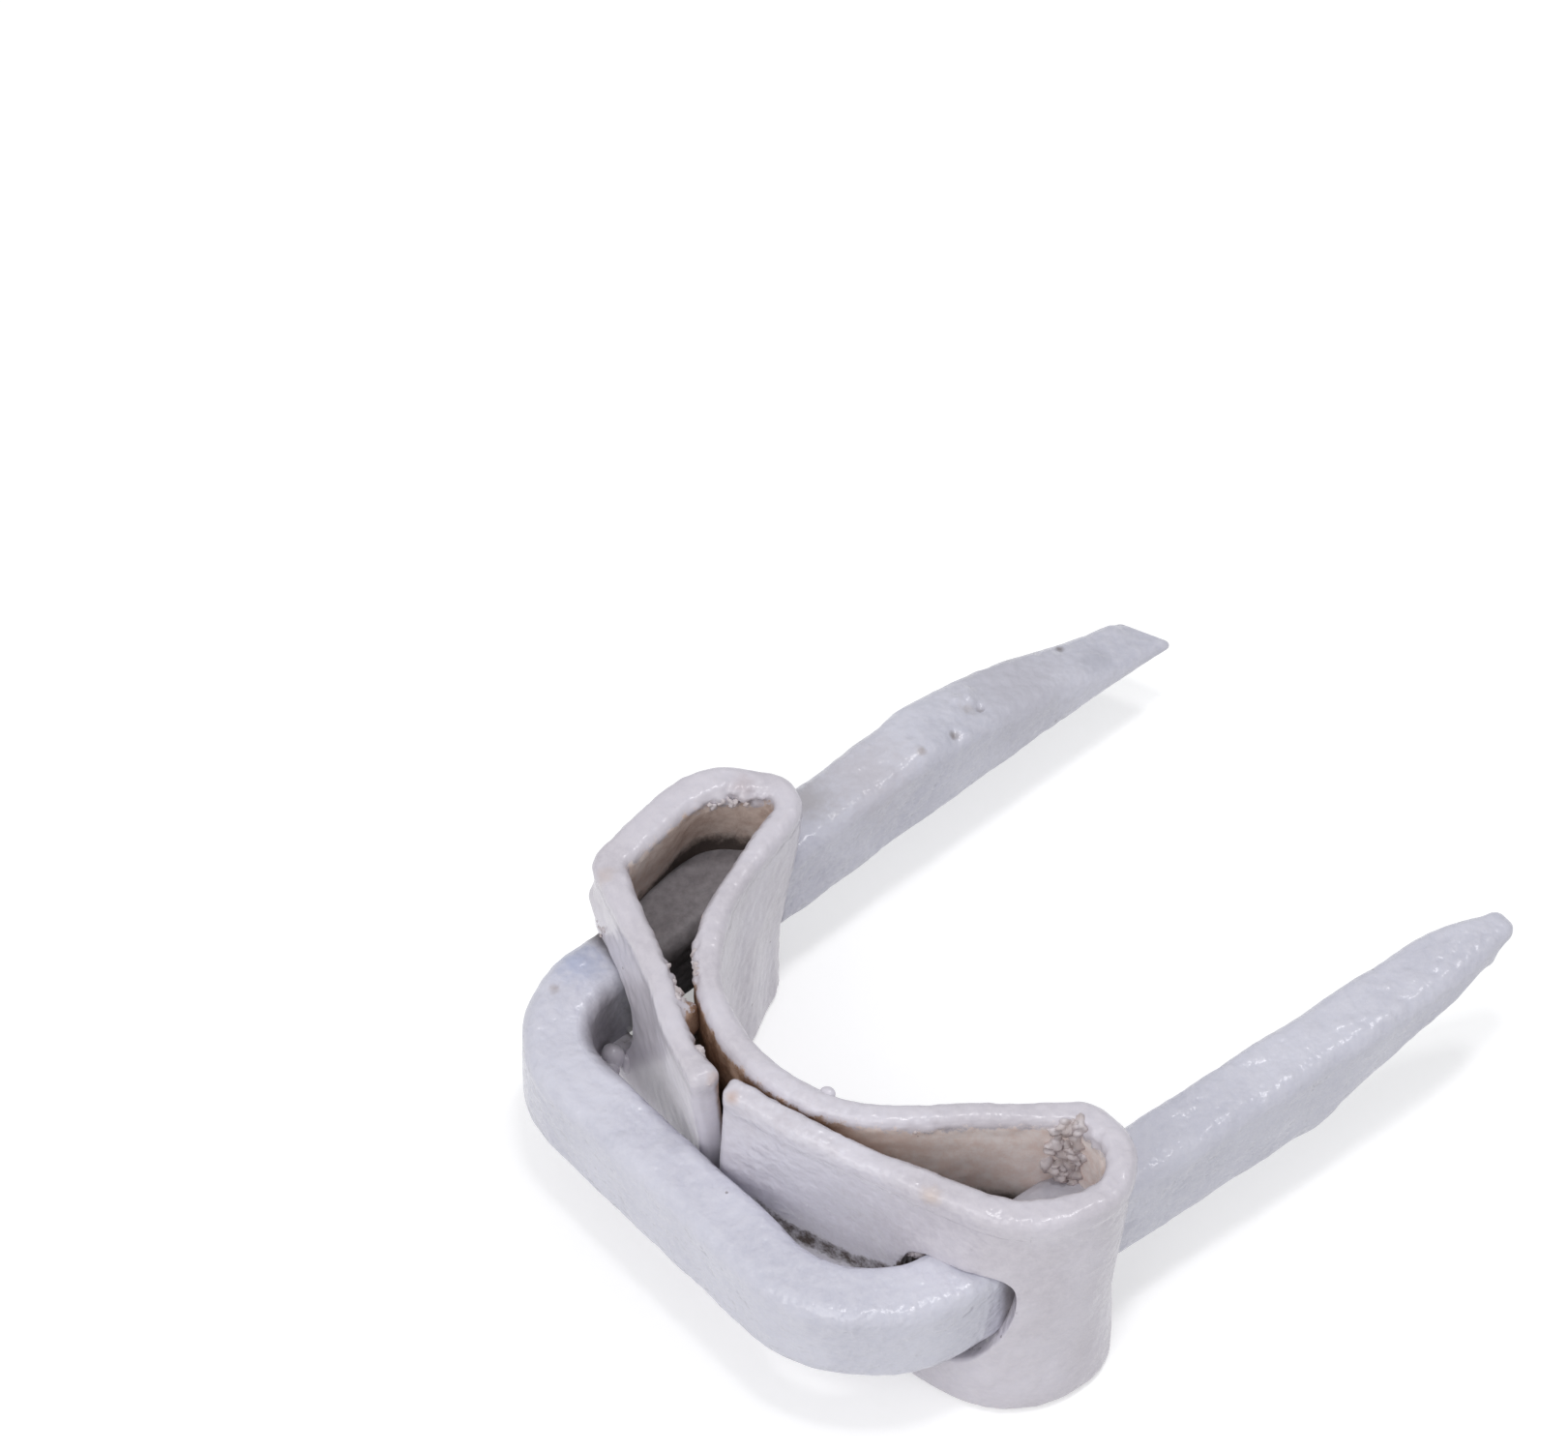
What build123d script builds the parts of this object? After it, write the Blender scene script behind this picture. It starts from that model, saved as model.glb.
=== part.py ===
from build123d import *
import os

# Insulated cable staple. A length of flat steel wire is bent into a U and sheared
# to a chisel at each end. A fibre strip is threaded on it through four slots and
# folded into a saddle, so that the cable bears on fibre and never on steel.
#
# Millimetres. The origin is on the axis of the cable seat, halfway up the strip.
# +X points along the legs to their points, +Y to leg A, +Z up across the strip.

# Fibre strip
strip_width = 6.35
strip_thickness = 0.66
strip_edge_radius = 0.16

# The cable seat, an arc of the strip's outer face between two angles from +X
seat_radius = 4.05
seat_angle_a = 110.0
seat_angle_b = 233.0

# The strip's two ends, which butt behind the seat
layer_gap = 0.33
butt_gap = 0.16
butt_offset = -0.22
wall_lean_angle_a = 17.8
wall_lean_angle_b = 21.2

# Wire section, thickness in the plane of the bend and depth across it
wire_thickness = 1.6
wire_depth = 2.3
wire_corner = 0.38

# A corner is rounded by at most this share of the section's smaller side
corner_limit = 0.45

# The bent wire. A leg's room is from the seat's circle to the leg's inner face, at the crown
crown_gap = 0.08
leg_room_a = 0.51
leg_room_b = 1.25
leg_splay_angle_a = 2.0
leg_splay_angle_b = 1.2
bend_radius_a = 1.3
bend_radius_b = 2.05

# The sheared points. Each bevel starts at a small burr and ends at a blunt chisel
tip_depth = 0.3
bevel_start_a = 4.95
bevel_length_a = 7.25
burr_reach_a = 0.9
burr_bulge_a = 0.3
tip_width_a = 1.15
bevel_start_b = 6.0
bevel_length_b = 6.2
burr_reach_b = 0.45
burr_bulge_b = 0.1
shoulder_reach_b = 4.3
tip_width_b = 0.5
tip_shift_b = 0.12

# The ears, where the strip wraps round each leg and folds back to the seat
pocket_gap_a = 0.22
fold_reach_a = 1.67
heel_place_a = -0.31
ear_slope_angle_a = 12.0
fold_radius_a = 0.9
heel_radius_a = 2.0
shoulder_radius_a = 1.0
pocket_gap_b = 0.27
fold_reach_b = 0.74
fold_radius_b = 0.95
heel_radius_b = 1.6
shoulder_radius_b = 2.77

# Slots in the strip. A leg enters through a long punched slot and leaves by a close one
entry_slot_slack_a = 2.4
entry_slot_slack_b = 1.9
entry_slot_reach_a = 2.2
entry_slot_reach_b = 1.1
entry_slot_clearance = 0.15
exit_slot_clearance = 0.05

# How far outside its wall the entry punch starts, and how far the exit cut runs each way
punch_start = 2 * strip_thickness
exit_slot_run = 4 * strip_thickness


def along(angle, length=1.0):
    """Step of a length at an angle from +X."""
    return Vector(length, 0).rotate(Axis.Z, angle)


def meet(point_1, angle_1, point_2, angle_2):
    """Corner where the line through point_1 at angle_1 crosses the one through point_2."""
    heading_1 = along(angle_1)
    heading_2 = along(angle_2)
    share = (point_2 - point_1).cross(heading_2).Z / heading_1.cross(heading_2).Z
    return point_1 + heading_1 * share


# Angles of the strip's walls, each seen from its end of the strip
wall_angle_a = 90 - wall_lean_angle_a
wall_angle_b = wall_lean_angle_b - 90

# The two ends lie behind the seat, with their inner corners in line
inner_x = -(seat_radius + strip_thickness + layer_gap)
inner_a = Vector(inner_x, butt_offset + butt_gap / 2)
inner_b = Vector(inner_x, butt_offset - butt_gap / 2)
end_a = inner_a + along(wall_angle_a + 90, strip_thickness)
end_b = inner_b + along(wall_angle_b - 90, strip_thickness)

# The crown lies behind both ends, and the legs run from its two corners
crown_x = min(end_a.X, end_b.X) - crown_gap - wire_thickness / 2
crown_a = Vector(crown_x, seat_radius + leg_room_a + wire_thickness / 2)
crown_b = Vector(crown_x, -(seat_radius + leg_room_b + wire_thickness / 2))
leg_heading_a = along(leg_splay_angle_a)
leg_heading_b = along(-leg_splay_angle_b)


def on_leg(crown_corner, heading, x):
    """Point of a leg's middle line at a given x."""
    return crown_corner + heading * ((x - crown_corner.X) / heading.X)


# Corners of the strip's outer face in ear A, before they are rounded
seat_end_a = along(seat_angle_a, seat_radius)
fold_a = meet(seat_end_a, seat_angle_a - 90, Vector(fold_reach_a, 0), 90)
heel_out_a = wire_thickness / 2 + pocket_gap_a + strip_thickness
heel_a = on_leg(crown_a, leg_heading_a, heel_place_a) + Vector(0, heel_out_a)
shoulder_a = meet(heel_a, ear_slope_angle_a, end_a, wall_angle_a)

# The same in ear B
seat_end_b = along(seat_angle_b, seat_radius)
fold_b = meet(seat_end_b, seat_angle_b + 90, Vector(fold_reach_b, 0), 90)
heel_out_b = wire_thickness / 2 + pocket_gap_b + strip_thickness
heel_b = on_leg(crown_b, leg_heading_b, fold_reach_b) - Vector(0, heel_out_b)
shoulder_b = meet(heel_b, 0, end_b, wall_angle_b)

# Middle line of the wire, from one bevel to the other
with BuildLine() as wire_line:
    FilletPolyline(
        on_leg(crown_a, leg_heading_a, bevel_start_a),
        crown_a,
        crown_b,
        on_leg(crown_b, leg_heading_b, bevel_start_b),
        radius=[bend_radius_a + wire_thickness / 2, bend_radius_b + wire_thickness / 2],
    )

# Line of the strip's outer face, from end B round both ears to end A
with BuildLine() as strip_line:
    FilletPolyline(
        end_b,
        shoulder_b,
        heel_b,
        fold_b,
        seat_end_b,
        radius=[shoulder_radius_b, heel_radius_b, fold_radius_b],
    )
    CenterArc((0, 0), seat_radius, seat_angle_b, seat_angle_a - seat_angle_b)
    FilletPolyline(
        seat_end_a,
        fold_a,
        heel_a,
        shoulder_a,
        end_a,
        radius=[fold_radius_a, heel_radius_a, shoulder_radius_a],
    )


def wire_section(middle, heading, width, depth, clearance=0.0):
    """Rounded section across the wire: width in the plane of the bend, depth upwards."""
    corner = min(wire_corner, corner_limit * min(width, depth)) + clearance
    with BuildSketch(Plane(origin=middle, x_dir=(0, 0, 1), z_dir=heading)) as section:
        RectangleRounded(depth + 2 * clearance, width + 2 * clearance, corner)
    return section.sketch.face()


def bevelled(reach, bevel_length):
    """Depth left at a reach along a straight bevel that ends at the chisel."""
    return wire_depth - (wire_depth - tip_depth) * reach / bevel_length


def station_a(reach, width, depth, out=0.0):
    """Section of leg A past its bevel's start. Its underside runs on straight."""
    middle = on_leg(crown_a, leg_heading_a, bevel_start_a) + leg_heading_a * reach
    middle += leg_heading_a.rotate(Axis.Z, 90) * out
    middle += Vector(0, 0, (depth - wire_depth) / 2)
    return wire_section(middle, leg_heading_a, width, depth)


def station_b(reach, width, depth, out=0.0):
    """Section of leg B past its bevel's start. Its top runs on straight."""
    middle = on_leg(crown_b, leg_heading_b, bevel_start_b) + leg_heading_b * reach
    middle += leg_heading_b.rotate(Axis.Z, -90) * out
    middle += Vector(0, 0, (wire_depth - depth) / 2)
    return wire_section(middle, leg_heading_b, width, depth)


with BuildPart() as staple_wire:
    tail = wire_section(wire_line.line @ 0, wire_line.line % 0, wire_thickness, wire_depth)
    sweep(sections=tail, path=wire_line.wire())
    burr_a = station_a(
        burr_reach_a,
        wire_thickness + burr_bulge_a,
        bevelled(burr_reach_a, bevel_length_a),
        burr_bulge_a / 2,
    )
    chisel_a = station_a(
        bevel_length_a, tip_width_a, tip_depth, (tip_width_a - wire_thickness) / 2
    )
    loft(sections=[station_a(0, wire_thickness, wire_depth), burr_a, chisel_a], ruled=True)
    burr_b = station_b(burr_reach_b, wire_thickness, wire_depth + burr_bulge_b)
    narrowing_b = station_b(
        shoulder_reach_b, wire_thickness, bevelled(shoulder_reach_b, bevel_length_b)
    )
    chisel_b = station_b(bevel_length_b, tip_width_b, tip_depth, tip_shift_b)
    loft(
        sections=[station_b(0, wire_thickness, wire_depth), burr_b, narrowing_b, chisel_b],
        ruled=True,
    )


def entry_slot(wall_angle, pocket_side, crossing, slack, reach):
    """Punched slot through a wall of the strip, round where the leg crosses it."""
    slot_length = wire_thickness + slack
    slot_height = wire_depth + 2 * entry_slot_clearance
    outside = crossing - pocket_side * punch_start
    slot_plane = Plane(origin=outside, x_dir=along(wall_angle), z_dir=pocket_side)
    with BuildPart() as slot:
        with BuildSketch(slot_plane):
            SlotOverall(slot_length, slot_height)
        extrude(amount=punch_start + reach)
    return slot.part


def exit_slot(crown_corner, heading, fold_reach):
    """Slot through a fold of the strip, the leg's own section and a clearance."""
    middle = on_leg(crown_corner, heading, fold_reach)
    section = wire_section(middle, heading, wire_thickness, wire_depth, exit_slot_clearance)
    with BuildPart() as slot:
        extrude(section, amount=exit_slot_run, both=True)
    return slot.part


# Where each leg's middle crosses the outer face of its wall
crossing_a = meet(crown_a, leg_splay_angle_a, end_a, wall_angle_a)
crossing_b = meet(crown_b, -leg_splay_angle_b, end_b, wall_angle_b)
pocket_side_a = along(wall_angle_a - 90)
pocket_side_b = along(wall_angle_b + 90)

with BuildPart() as insulating_strap:
    strip_end = Plane(
        origin=strip_line.line @ 0, x_dir=(0, 0, 1), z_dir=strip_line.line % 0
    )
    with BuildSketch(strip_end) as strip_section:
        with Locations((0, -strip_thickness / 2)):
            RectangleRounded(strip_width, strip_thickness, strip_edge_radius)
    sweep(path=strip_line.wire())
    add(
        entry_slot(
            wall_angle_a, pocket_side_a, crossing_a, entry_slot_slack_a, entry_slot_reach_a
        ),
        mode=Mode.SUBTRACT,
    )
    add(
        entry_slot(
            wall_angle_b, pocket_side_b, crossing_b, entry_slot_slack_b, entry_slot_reach_b
        ),
        mode=Mode.SUBTRACT,
    )
    add(exit_slot(crown_a, leg_heading_a, fold_reach_a), mode=Mode.SUBTRACT)
    add(exit_slot(crown_b, leg_heading_b, fold_reach_b), mode=Mode.SUBTRACT)

staple_wire.part.label = "staple_wire"
insulating_strap.part.label = "insulating_strap"

os.makedirs("parts", exist_ok=True)
export_step(staple_wire.part, "parts/staple_wire.step")
export_step(insulating_strap.part, "parts/insulating_strap.step")

for piece in (staple_wire, insulating_strap):
    box = piece.part.bounding_box()
    print(piece.part.label, "from", box.min, "to", box.max, "mm")
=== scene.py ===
# %% [markdown]
# # An insulated cable staple
# A steel wire is bent into a U and sheared to a chisel at each end. A strip of fibre is threaded on it
# through four slots and folded into a saddle, and the whole thing is then enamelled. The lesson loads
# the measured model as a fixed frame, makes both pieces again as numpy surfaces with the swells, burrs
# and runs of enamel that the frame leaves out, and gives each a finish made only of shader nodes.

# %% Load the frame
import math

import bpy
import numpy as np
from mathutils import Matrix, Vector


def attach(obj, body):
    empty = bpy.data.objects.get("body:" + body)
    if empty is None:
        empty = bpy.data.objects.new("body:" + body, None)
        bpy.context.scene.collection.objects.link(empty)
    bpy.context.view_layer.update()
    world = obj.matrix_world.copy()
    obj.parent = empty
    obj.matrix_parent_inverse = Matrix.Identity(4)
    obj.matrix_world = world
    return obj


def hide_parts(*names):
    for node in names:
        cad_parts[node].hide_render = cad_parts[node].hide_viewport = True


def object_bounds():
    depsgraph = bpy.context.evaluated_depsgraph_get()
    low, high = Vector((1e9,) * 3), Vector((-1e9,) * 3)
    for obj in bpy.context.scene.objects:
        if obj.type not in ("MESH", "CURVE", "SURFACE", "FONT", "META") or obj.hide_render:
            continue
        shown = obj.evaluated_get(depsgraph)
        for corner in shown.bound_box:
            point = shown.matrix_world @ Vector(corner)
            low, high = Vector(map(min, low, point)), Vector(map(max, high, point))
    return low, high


MM = 0.001
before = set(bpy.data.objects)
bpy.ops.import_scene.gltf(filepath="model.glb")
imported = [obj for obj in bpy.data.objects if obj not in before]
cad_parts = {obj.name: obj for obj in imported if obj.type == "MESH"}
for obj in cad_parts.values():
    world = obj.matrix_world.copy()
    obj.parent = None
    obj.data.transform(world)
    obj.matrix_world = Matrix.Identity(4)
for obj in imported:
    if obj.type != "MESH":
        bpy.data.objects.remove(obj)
cad_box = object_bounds()
print("frame nodes:", sorted(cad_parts))

# %% [markdown]
# ## Working out surfaces as arrays
# Both pieces are long thin things that follow a line, so each is a surface of two parameters: the run
# along its line and the way round its section. Every point is worked out at once with arrays, in
# millimetres, and goes into the mesh in metres. Lumps in the enamel come from a smooth field of
# waves, because it needs no picture and gives the same answer every time.

# %% Helpers for fields and blends
def waves(seed, length, count=28):
    """A smooth field over points: the sum of sine waves near one wavelength, each with its own
    direction and phase, scaled so that its values mostly lie within -1 and 1."""
    rng = np.random.default_rng(seed)
    heading = rng.normal(size=(count, 3))
    heading /= np.linalg.norm(heading, axis=1, keepdims=True)
    pace = heading * (2 * np.pi / length * rng.uniform(0.6, 1.5, count))[:, None]
    phase = rng.uniform(0, 2 * np.pi, count)

    def field(points):
        return np.sin(points @ pace.T + phase).sum(axis=-1) / math.sqrt(count)

    return field


def rise(value, start, end):
    """0 before start, 1 after end, and the smooth cubic 3t^2 - 2t^3 between them."""
    t = np.clip((value - start) / (end - start), 0, 1)
    return t * t * (3 - 2 * t)


def between(value, start, end, blend):
    """1 from start to end, and a smooth fall to 0 over a blend on both sides."""
    return rise(value, start - blend, start) * (1 - rise(value, end, end + blend))


def hump(value, middle, spread):
    """A bell curve: e to the minus square of the distance from the middle over the spread."""
    return np.exp(-(((value - middle) / spread) ** 2))


def drawn_in(gap, radius):
    """How far a rounded end has drawn in at a gap from its tip: the radius less its circle's height."""
    return radius - np.sqrt(np.clip(radius**2 - (radius - np.minimum(gap, radius)) ** 2, 0, None))


# %% Helpers that turn arrays into a mesh
def stand(name, data):
    """An object for a mesh, a lamp or a camera, put into the scene."""
    thing = bpy.data.objects.new(name, data)
    bpy.context.scene.collection.objects.link(thing)
    return thing


def mesh_object(name, points, quads, layers=None):
    """Points that coincide are joined, faces that lose a corner keep the rest, and faces with fewer
    than three corners are dropped, so a triangle is a quad whose last corner comes twice. Points are
    in millimetres, and layers are values on the points."""
    key = np.round(points * 1e6).astype(np.int64)
    kept, first, number = np.unique(key, axis=0, return_index=True, return_inverse=True)
    rows = number.reshape(-1)[quads]
    following = np.roll(rows, -1, axis=1)
    distinct = rows != following
    corners = distinct.sum(axis=1)
    rows, distinct, corners = rows[corners > 2], distinct[corners > 2], corners[corners > 2]
    starts = np.r_[0, np.cumsum(corners)[:-1]]

    mesh = bpy.data.meshes.new(name)
    mesh.vertices.add(len(kept))
    mesh.vertices.foreach_set("co", (points[first] * MM).ravel())
    mesh.loops.add(int(corners.sum()))
    mesh.loops.foreach_set("vertex_index", rows[distinct].astype(np.int32))
    mesh.polygons.add(len(corners))
    mesh.polygons.foreach_set("loop_start", starts.astype(np.int32))
    for layer, values in (layers or {}).items():
        attribute = mesh.attributes.new(layer, "FLOAT", "POINT")
        attribute.data.foreach_set("value", values[first].astype(np.float32))
    mesh.update(calc_edges=True)
    mesh.validate()
    mesh.shade_smooth()
    print(name, "points", len(kept), "faces", len(corners))
    return stand(name, mesh)


def ring_quads(rings, around):
    """Corner numbers of the faces of a tube: ring i, place j goes to ring i + 1, then to place j + 1.
    They face outwards where the places turn from the outward side towards +Z."""
    i, j = np.meshgrid(np.arange(rings - 1), np.arange(around), indexing="ij")
    k = (j + 1) % around
    corners = [i * around + j, (i + 1) * around + j, (i + 1) * around + k, i * around + k]
    return np.stack(corners, -1).reshape(-1, 4)


# %% [markdown]
# ## Bent lines
# The wire and the strip were both bent round formers, so each follows straight runs joined by arcs.
# Such a line could be a spline, but a spline bulges where a bend should be clean. Here the turning
# rate along the line is known exactly, and adding it up gives the angle, and the angle gives the place.

# %% Helpers for bent lines
def unit(angle):
    """Unit step at an angle in degrees from +X."""
    return np.array([math.cos(math.radians(angle)), math.sin(math.radians(angle))])


def meet(point_1, angle_1, point_2, angle_2):
    """Where the line through point_1 at angle_1 crosses the line through point_2 at angle_2."""
    share = np.linalg.solve(np.c_[unit(angle_1), -unit(angle_2)], point_2 - point_1)
    return point_1 + unit(angle_1) * share[0]


def bent_line(corners, radii, step=0.004):
    """Straight runs rounded by tangent arcs. Gives the length, a function from run to place and angle,
    and the run at the middle of each arc. Angle is the sum of turning, place the sum of headings."""
    corners = np.array(corners)
    legs = np.diff(corners, axis=0)
    headings = np.unwrap(np.arctan2(legs[:, 1], legs[:, 0]))
    turns = np.diff(headings)
    cut = np.array(radii) * np.tan(np.abs(turns) / 2)
    arcs = np.array(radii) * np.abs(turns)
    straights = np.linalg.norm(legs, axis=1) - np.r_[0, cut] - np.r_[cut, 0]
    lengths = np.zeros(2 * len(arcs) + 1)
    lengths[0::2] = straights
    lengths[1::2] = arcs
    ends = np.cumsum(lengths)
    angles = headings[0] + np.cumsum(np.r_[0, np.c_[np.zeros(len(arcs)), turns].ravel()])
    count = int(ends[-1] / step) + 1
    run = np.linspace(0, ends[-1], count)
    angle = np.interp(run, np.r_[0, ends], np.r_[angles, headings[-1]][: len(ends) + 1])
    middle = (angle[1:] + angle[:-1]) / 2
    gap = run[1] - run[0]
    x = corners[0, 0] + np.r_[0, np.cumsum(np.cos(middle)) * gap]
    y = corners[0, 1] + np.r_[0, np.cumsum(np.sin(middle)) * gap]

    def place(at):
        return np.stack([np.interp(at, run, x), np.interp(at, run, y)], -1), np.interp(at, run, angle)

    return ends[-1], place, (ends[0:-1:2] + ends[1::2]) / 2


# %% [markdown]
# ## The wire
# The wire is about 1.6 by 2.3 mm with soft corners. One leg is sheared from above and the other from
# below, and the blade raised a small burr at the start of each bevel. The section is a rounded
# rectangle whose width, depth, height and corner change along the run, so one function makes the
# crown, the legs and both points in one skin. The bend also twisted the crown a little.

# %% Sizes of the wire
wire_thickness = 1.59
wire_depth = 2.316
wire_corner = 0.385
wire_middle = -0.047
crown_x = -6.537
leg_a_y = 5.36
leg_b_y = -6.10
splay_a = 2.0
splay_b = -1.2
bend_a = 2.091
bend_b = 2.832
crown_twist = 0.196
tip_lift_a = 0.1
tip_lift_b = 0.08
tip_depth = 0.3
tip_width_b = 0.62
bevel_a = 4.95
bevel_length_a = 7.22
bevel_b = 6.0
bevel_length_b = 6.05
burr_a = 0.3
burr_b = 0.12
caked_dust = 0.21
end_round_a = 0.13
end_round_b = 0.27

# %% The wire's middle line
crown_a = np.array([crown_x, leg_a_y])
crown_b = np.array([crown_x, leg_b_y])
tip_a = crown_a + unit(splay_a) * (bevel_a + bevel_length_a - crown_x)
tip_b = crown_b + unit(splay_b) * (bevel_b + bevel_length_b - crown_x)
wire_length, wire_place, wire_bends = bent_line([tip_a, crown_a, crown_b, tip_b], [bend_a, bend_b])
print("wire length", round(wire_length, 2), "mm")

# %% Runs along the wire, closer together at its two tips
wire_step = 0.06
wire_run = np.r_[
    end_round_a * (1 - np.cos(np.linspace(0, np.pi / 2, 7)[:-1])),
    np.linspace(end_round_a, wire_length - end_round_b, int(wire_length / wire_step)),
    wire_length - end_round_b * (1 - np.cos(np.linspace(np.pi / 2, 0, 10)[1:])),
]
spot, angle = wire_place(wire_run)
reach_a = bevel_length_a - wire_run
reach_b = wire_run - (wire_length - bevel_length_b)
share_a = np.clip(reach_a / bevel_length_a, 0, 1)
share_b = np.clip(reach_b / bevel_length_b, 0, 1)
print("rings of points along the wire", len(wire_run))

# %% The section's depth and width, and how far its middle lies outside the line
# Both bevels lose depth evenly. Bevel A swells behind its burr, and point B narrows late
swell_knots = [-1.0, -0.15, 0.5, 1.7, 2.9, 3.9, 4.9, 6.0, 7.2]
swell_a = np.interp(reach_a, swell_knots, [0, 0.1, 0.6, 0.87, 1.0, 0.9, 0.56, 0.27, 0])
depth = wire_depth - (wire_depth - tip_depth) * (share_a + share_b)
depth += burr_b * hump(reach_b, 0.25, 0.55) + 0.15 * rise(share_b, 0.5, 1.0) + 0.5 * burr_a * swell_a
width = wire_thickness - 0.4 * share_a + 0.9 * burr_a * swell_a
width -= (wire_thickness - tip_width_b) * rise(share_b, 0.66, 1.02) * 0.94
out = 0.45 * burr_a * swell_a - 0.2 * share_a + 0.12 * rise(share_b, 0.66, 1.0)
# Dust has caked on the outer side inside ear A and closes the gap to the strip
caked = caked_dust * between(wire_run, 11.7, 15.2, 0.5)
width += caked
out += caked / 2
print("wire width", width.min().round(2), "to", width.max().round(2), "mm")

# %% The section's height
# The tips rise a little, the crown is twisted, and the full side of each bevel runs on straight
lift = np.interp(wire_run, [0, *wire_bends, wire_length], [tip_lift_a, 0, 0, tip_lift_b])
twist_knots = [bevel_length_a, *wire_bends, wire_length - bevel_length_b]
twist = np.interp(wire_run, twist_knots, [0, -crown_twist, crown_twist, 0])
height = wire_middle + lift + twist + 0.07 * hump(reach_b, 4.9, 0.8)
height += (wire_depth - depth) / 2 * np.where(wire_run < wire_length / 2, -1, 1)
print("wire's middle from", height.min().round(2), "to", height.max().round(2), "mm high")

# %% The wire's skin
def rounded_section(steps_corner=7, steps_width=15, steps_depth=17):
    """Places round a rounded rectangle: which corner centre a point belongs to, from -1 to 1 on each
    axis, and the direction from that centre. Flats have points between two corner centres."""
    centre, normal = [], []
    corners = [(1, 1), (-1, 1), (-1, -1), (1, -1)]
    flats = [steps_width, steps_depth, steps_width, steps_depth]
    for turn, (here, flat) in enumerate(zip(corners, flats)):
        following = corners[(turn + 1) % 4]
        swing = np.radians(90 * turn + np.linspace(0, 90, steps_corner + 1))
        centre += [here] * (steps_corner + 1)
        normal += list(np.c_[np.cos(swing), np.sin(swing)])
        for share in np.arange(1, flat) / flat:
            centre.append(np.array(here) * (1 - share) + np.array(following) * share)
            normal.append((math.cos(swing[-1]), math.sin(swing[-1])))
    return np.array(centre, float), np.array(normal, float)


centre, normal = rounded_section()
end_gap = np.minimum(wire_run, wire_length - wire_run)
end_round = np.where(wire_run < wire_length / 2, end_round_a, end_round_b)
end_shrink = drawn_in(end_gap, end_round)
corner = np.minimum(wire_corner, 0.46 * np.minimum(width, depth)) - end_shrink * 0.9
corner = np.maximum(corner, 0.004)
half_width = width / 2 - end_shrink
half_depth = np.maximum(depth / 2 - end_shrink, corner)
across = centre[:, 0] * (half_width - corner)[:, None] + normal[:, 0] * corner[:, None]
upward = centre[:, 1] * (half_depth - corner)[:, None] + normal[:, 1] * corner[:, None]
outward = np.stack([np.sin(angle), -np.cos(angle)], -1)

skin = np.empty((len(wire_run), len(centre), 3))
skin[..., :2] = spot[:, None] + outward[:, None] * (across + out[:, None])[..., None]
skin[..., 2] = height[:, None] + upward
facing = np.empty_like(skin)
facing[..., :2] = outward[:, None] * normal[None, :, :1]
facing[..., 2] = normal[:, 1]
# The blade stood askew, so the side of point A that faces the other leg is the longer one
skin[..., 0] -= 0.42 * across * rise(share_a, 0.88, 1.0)[:, None]

# %% [markdown]
# ## Enamel on the wire
# Enamel flows before it sets, so it is thick in a few soft swells and finely rippled everywhere. Long
# waves give the swells and short waves the ripple, both pushed along the section's own normal. At the
# very ends the push fades out, so that the two poles close cleanly. Bubbles left a few dimples and
# beads on bevel A and one dimple in the crown's bend, and a drip hangs on point B. Each is a bell curve
# round its own centre.

# %% Swells, ripples and beads on the wire
# Each bead or dimple: x, y, z, radius and height
beads = np.array([
    (7.00, 5.98, 0.70, 0.16, 0.17),
    (6.70, 6.10, 0.75, 0.15, 0.13),
    (7.12, 6.20, 0.68, 0.14, 0.11),
    (7.04, 5.66, 0.70, 0.13, -0.15),
    (6.45, 5.85, 0.80, 0.20, 0.08),
    (5.97, 5.25, 0.95, 0.14, -0.13),
    (6.30, 5.05, 0.90, 0.18, 0.09),
    (9.97, 6.25, 0.00, 0.14, -0.10),
    (10.60, 5.55, -0.20, 0.22, 0.07),
    (11.60, 6.20, -0.50, 0.30, 0.07),
    (-6.10, 4.23, 1.11, 0.10, -0.04),
    (11.20, -7.02, 0.55, 0.18, 0.12),
])


def enamel_lumps(points, swell=0.018, ripple=0.006):
    """Height of the coat: long waves times swell, short waves times ripple, and the beads."""
    lumps = swell * waves(11, 1.7)(points) + ripple * waves(12, 0.42)(points)
    for *middle, radius, height in beads:
        lumps += height * np.exp(-((points - middle) ** 2).sum(-1) / radius**2)
    return lumps


fade = rise(end_gap, 0, 0.6)[:, None]
lumps = enamel_lumps(skin) * fade
skin += facing * lumps[..., None]
print("coat from", lumps.min().round(2), "to", lumps.max().round(2), "mm")

# %% The wire's points and the fans that close its tips
rings, around = skin.shape[:2]
tip_points = np.array([skin[0].mean(0), skin[-1].mean(0)])
wire_points = np.vstack([skin.reshape(-1, 3), tip_points])
first_ring = np.arange(around)
last_ring = first_ring + (rings - 1) * around
fans = np.vstack([
    np.c_[np.full(around, rings * around), first_ring, np.roll(first_ring, -1)],
    np.c_[np.full(around, rings * around + 1), np.roll(last_ring, -1), last_ring],
])
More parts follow.
